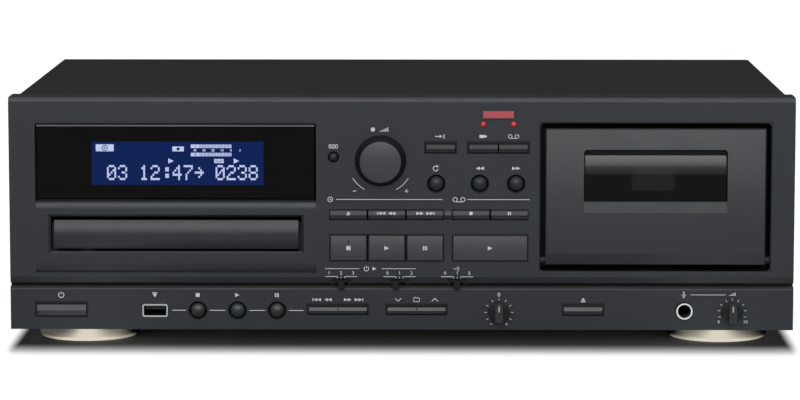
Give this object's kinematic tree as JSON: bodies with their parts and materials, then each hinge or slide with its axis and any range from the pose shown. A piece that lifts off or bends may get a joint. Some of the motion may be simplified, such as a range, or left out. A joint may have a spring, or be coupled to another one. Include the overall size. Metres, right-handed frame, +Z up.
{
  "type": "cd cassette deck",
  "caption": "Full-width hi-fi deck with a sliding disc drawer, a hinged cassette door with its transport, a blue display, keys, knobs and slide switches on a moulded panel.",
  "frame": {"origin": "on the surface that the feet stand on, under the middle of the bounding box", "axes": "+X to the right of a person facing the front, +Y to the back, +Z up"},
  "size_m": [0.435, 0.2834, 0.145],
  "materials": {
    "panel_black": "satin moulded",
    "cover_black": "fine textured paint",
    "zinc_sheet": "zinc plated",
    "foot_champagne": "spun metallic lacquer",
    "screw_black": "blackened",
    "window_smoke": "polished",
    "lcd_blue": "backlit",
    "board_green": "solder mask",
    "transformer_iron": "varnished",
    "socket_black": "moulded",
    "socket_metal": "polished",
    "lamp_red": "clear",
    "drawer_grey": "satin",
    "tray_black": "moulded",
    "loader_grey": "moulded",
    "gear_white": "acetal",
    "spindle_black": "moulded",
    "pickup_metal": "die cast",
    "door_grey": "satin",
    "door_glass": "polished",
    "carrier_black": "moulded",
    "deck_metal": "black oxide",
    "reel_black": "moulded",
    "bright_steel": "ground",
    "roller_rubber": "ground",
    "key_dark": "satin",
    "key_grey": "satin",
    "knob_dark": "satin",
    "switch_black": "moulded"
  },
  "bodies": {
    "chassis": {"front_panel": "panel_black", "top_cover": "cover_black", "bottom_chassis": "zinc_sheet", "rear_panel": "zinc_sheet", "feet": "foot_champagne", "case_screws": "screw_black", "display_window": "window_smoke", "lcd_module": "lcd_blue", "front_board": "board_green", "main_board": "board_green", "power_transformer": "transformer_iron", "line_jacks": "socket_black", "mains_inlet": "socket_black", "usb_socket": "socket_metal", "mic_jack": "socket_metal", "record_lamps": "lamp_red", "cd_loader_frame": "loader_grey", "tape_deck_frame": "deck_metal"},
    "drawer": {"drawer_front": "drawer_grey", "drawer_tray": "tray_black"},
    "loading_gear": {"loading_gear": "gear_white"},
    "disc_spindle": {"turntable": "spindle_black"},
    "pickup": {"optical_pickup": "pickup_metal"},
    "door": {"cassette_door": "door_grey", "cassette_window": "door_glass", "cassette_carrier": "carrier_black"},
    "supply_reel": {"supply_reel": "reel_black"},
    "takeup_reel": {"takeup_reel": "reel_black"},
    "capstan": {"capstan": "bright_steel"},
    "head_bridge": {"head_bridge": "bright_steel"},
    "pinch_roller": {"pinch_roller": "roller_rubber"},
    "power_button": {"power_button": "key_grey"},
    "usb_stop_button": {"usb_stop_button": "key_dark"},
    "usb_play_button": {"usb_play_button": "key_dark"},
    "usb_pause_button": {"usb_pause_button": "key_dark"},
    "usb_skip_rocker": {"usb_skip_rocker": "key_grey"},
    "folder_rocker": {"folder_rocker": "key_grey"},
    "pitch_knob": {"pitch_knob": "knob_dark"},
    "eject_button": {"eject_button": "key_grey"},
    "mic_level_knob": {"mic_level_knob": "knob_dark"},
    "counter_reset_button": {"counter_reset_button": "key_dark"},
    "rec_level_knob": {"rec_level_knob": "knob_dark"},
    "source_button": {"source_button": "key_grey"},
    "record_usb_button": {"record_usb_button": "key_grey"},
    "record_tape_button": {"record_tape_button": "key_grey"},
    "repeat_button": {"repeat_button": "key_dark"},
    "rewind_button": {"rewind_button": "key_dark"},
    "fast_forward_button": {"fast_forward_button": "key_dark"},
    "cd_open_button": {"cd_open_button": "key_grey"},
    "cd_back_button": {"cd_back_button": "key_grey"},
    "cd_next_button": {"cd_next_button": "key_grey"},
    "tape_stop_button": {"tape_stop_button": "key_grey"},
    "tape_pause_button": {"tape_pause_button": "key_grey"},
    "cd_stop_button": {"cd_stop_button": "key_grey"},
    "cd_play_button": {"cd_play_button": "key_grey"},
    "cd_pause_button": {"cd_pause_button": "key_grey"},
    "tape_play_button": {"tape_play_button": "key_grey"},
    "start_source_switch": {"start_source_switch": "switch_black"},
    "start_mode_switch": {"start_mode_switch": "switch_black"},
    "echo_switch": {"echo_switch": "switch_black"}
  },
  "joints": [
    {"name": "drawer_slide", "type": "slide", "parent": "chassis", "child": "drawer", "axis": [0, -1, 0], "range_m": [0, 0.135]},
    {"name": "loading_gear_turn", "type": "hinge", "parent": "chassis", "child": "loading_gear", "pos_m": [-0.17635, -0.10625, 0.0616], "axis": [0, 0, 1], "range_deg": [0, 860]},
    {"name": "disc_turn", "type": "hinge", "parent": "chassis", "child": "disc_spindle", "pos_m": [-0.1251, -0.06225, 0.066], "axis": [0, 0, 1], "continuous": true},
    {"name": "pickup_slide", "type": "slide", "parent": "chassis", "child": "pickup", "axis": [0, 1, 0], "range_m": [0, 0.034]},
    {"name": "door_hinge", "type": "hinge", "parent": "chassis", "child": "door", "pos_m": [0.1406, -0.12625, 0.054], "axis": [1, 0, 0], "range_deg": [0, 26]},
    {"name": "supply_reel_turn", "type": "hinge", "parent": "chassis", "child": "supply_reel", "pos_m": [0.11935, -0.11425, 0.097], "axis": [0, -1, 0], "continuous": true},
    {"name": "takeup_reel_turn", "type": "hinge", "parent": "chassis", "child": "takeup_reel", "pos_m": [0.16185, -0.11425, 0.097], "axis": [0, -1, 0], "continuous": true},
    {"name": "capstan_turn", "type": "hinge", "parent": "chassis", "child": "capstan", "pos_m": [0.1646, -0.10825, 0.0721], "axis": [0, -1, 0], "continuous": true},
    {"name": "head_bridge_lift", "type": "slide", "parent": "chassis", "child": "head_bridge", "axis": [0, 0, 1], "range_m": [0, 0.0036], "stiffness_N_per_m": 150},
    {"name": "pinch_roller_turn", "type": "hinge", "parent": "head_bridge", "child": "pinch_roller", "pos_m": [0.1646, -0.11425, 0.0612], "axis": [0, -1, 0], "continuous": true},
    {"name": "power_button_press", "type": "slide", "parent": "chassis", "child": "power_button", "axis": [0, 1, 0], "range_m": [0, 0.003], "stiffness_N_per_m": 400},
    {"name": "usb_stop_button_press", "type": "slide", "parent": "chassis", "child": "usb_stop_button", "axis": [0, 1, 0], "range_m": [0, 0.0008], "stiffness_N_per_m": 400},
    {"name": "usb_play_button_press", "type": "slide", "parent": "chassis", "child": "usb_play_button", "axis": [0, 1, 0], "range_m": [0, 0.0008], "stiffness_N_per_m": 400},
    {"name": "usb_pause_button_press", "type": "slide", "parent": "chassis", "child": "usb_pause_button", "axis": [0, 1, 0], "range_m": [0, 0.0008], "stiffness_N_per_m": 400},
    {"name": "usb_skip_rocker_rock", "type": "hinge", "parent": "chassis", "child": "usb_skip_rocker", "pos_m": [-0.03535, -0.12575, 0.0261], "axis": [0, 0, 1], "range_deg": [-2.5, 2.5], "stiffness_Nm_per_rad": 0.5},
    {"name": "folder_rocker_rock", "type": "hinge", "parent": "chassis", "child": "folder_rocker", "pos_m": [0.00835, -0.12575, 0.0261], "axis": [0, 0, 1], "range_deg": [-2.5, 2.5], "stiffness_Nm_per_rad": 0.5},
    {"name": "pitch_knob_turn", "type": "hinge", "parent": "chassis", "child": "pitch_knob", "pos_m": [0.0541, -0.13425, 0.0255], "axis": [0, 1, 0], "range_deg": [-135, 135]},
    {"name": "eject_button_press", "type": "slide", "parent": "chassis", "child": "eject_button", "axis": [0, 1, 0], "range_m": [0, 0.002], "stiffness_N_per_m": 400},
    {"name": "mic_level_knob_turn", "type": "hinge", "parent": "chassis", "child": "mic_level_knob", "pos_m": [0.1835, -0.13425, 0.0255], "axis": [0, 1, 0], "range_deg": [-135, 135]},
    {"name": "counter_reset_button_press", "type": "slide", "parent": "chassis", "child": "counter_reset_button", "axis": [0, 1, 0], "range_m": [0, 0.0008], "stiffness_N_per_m": 400},
    {"name": "rec_level_knob_turn", "type": "hinge", "parent": "chassis", "child": "rec_level_knob", "pos_m": [-0.0116, -0.13425, 0.11], "axis": [0, 1, 0], "continuous": true},
    {"name": "source_button_press", "type": "slide", "parent": "chassis", "child": "source_button", "axis": [0, 1, 0], "range_m": [0, 0.0008], "stiffness_N_per_m": 400},
    {"name": "record_usb_button_press", "type": "slide", "parent": "chassis", "child": "record_usb_button", "axis": [0, 1, 0], "range_m": [0, 0.0008], "stiffness_N_per_m": 400},
    {"name": "record_tape_button_press", "type": "slide", "parent": "chassis", "child": "record_tape_button", "axis": [0, 1, 0], "range_m": [0, 0.0008], "stiffness_N_per_m": 400},
    {"name": "repeat_button_press", "type": "slide", "parent": "chassis", "child": "repeat_button", "axis": [0, 1, 0], "range_m": [0, 0.0008], "stiffness_N_per_m": 400},
    {"name": "rewind_button_press", "type": "slide", "parent": "chassis", "child": "rewind_button", "axis": [0, 1, 0], "range_m": [0, 0.0008], "stiffness_N_per_m": 400},
    {"name": "fast_forward_button_press", "type": "slide", "parent": "chassis", "child": "fast_forward_button", "axis": [0, 1, 0], "range_m": [0, 0.0008], "stiffness_N_per_m": 400},
    {"name": "cd_open_button_press", "type": "slide", "parent": "chassis", "child": "cd_open_button", "axis": [0, 1, 0], "range_m": [0, 0.0008], "stiffness_N_per_m": 400},
    {"name": "cd_back_button_press", "type": "slide", "parent": "chassis", "child": "cd_back_button", "axis": [0, 1, 0], "range_m": [0, 0.0008], "stiffness_N_per_m": 400},
    {"name": "cd_next_button_press", "type": "slide", "parent": "chassis", "child": "cd_next_button", "axis": [0, 1, 0], "range_m": [0, 0.0008], "stiffness_N_per_m": 400},
    {"name": "tape_stop_button_press", "type": "slide", "parent": "chassis", "child": "tape_stop_button", "axis": [0, 1, 0], "range_m": [0, 0.0008], "stiffness_N_per_m": 400},
    {"name": "tape_pause_button_press", "type": "slide", "parent": "chassis", "child": "tape_pause_button", "axis": [0, 1, 0], "range_m": [0, 0.0008], "stiffness_N_per_m": 400},
    {"name": "cd_stop_button_press", "type": "slide", "parent": "chassis", "child": "cd_stop_button", "axis": [0, 1, 0], "range_m": [0, 0.0008], "stiffness_N_per_m": 400},
    {"name": "cd_play_button_press", "type": "slide", "parent": "chassis", "child": "cd_play_button", "axis": [0, 1, 0], "range_m": [0, 0.0008], "stiffness_N_per_m": 400},
    {"name": "cd_pause_button_press", "type": "slide", "parent": "chassis", "child": "cd_pause_button", "axis": [0, 1, 0], "range_m": [0, 0.0008], "stiffness_N_per_m": 400},
    {"name": "tape_play_button_press", "type": "slide", "parent": "chassis", "child": "tape_play_button", "axis": [0, 1, 0], "range_m": [0, 0.0008], "stiffness_N_per_m": 400},
    {"name": "start_source_switch_slide", "type": "slide", "parent": "chassis", "child": "start_source_switch", "axis": [1, 0, 0], "range_m": [-0.0021, 0.0021]},
    {"name": "start_mode_switch_slide", "type": "slide", "parent": "chassis", "child": "start_mode_switch", "axis": [1, 0, 0], "range_m": [0, 0.0042]},
    {"name": "echo_switch_slide", "type": "slide", "parent": "chassis", "child": "echo_switch", "axis": [1, 0, 0], "range_m": [-0.0021, 0.0021]}
  ],
  "couplings": [
    {"joint": "loading_gear_turn", "follows": "drawer_slide", "rad_per_m": 111.11}
  ]
}
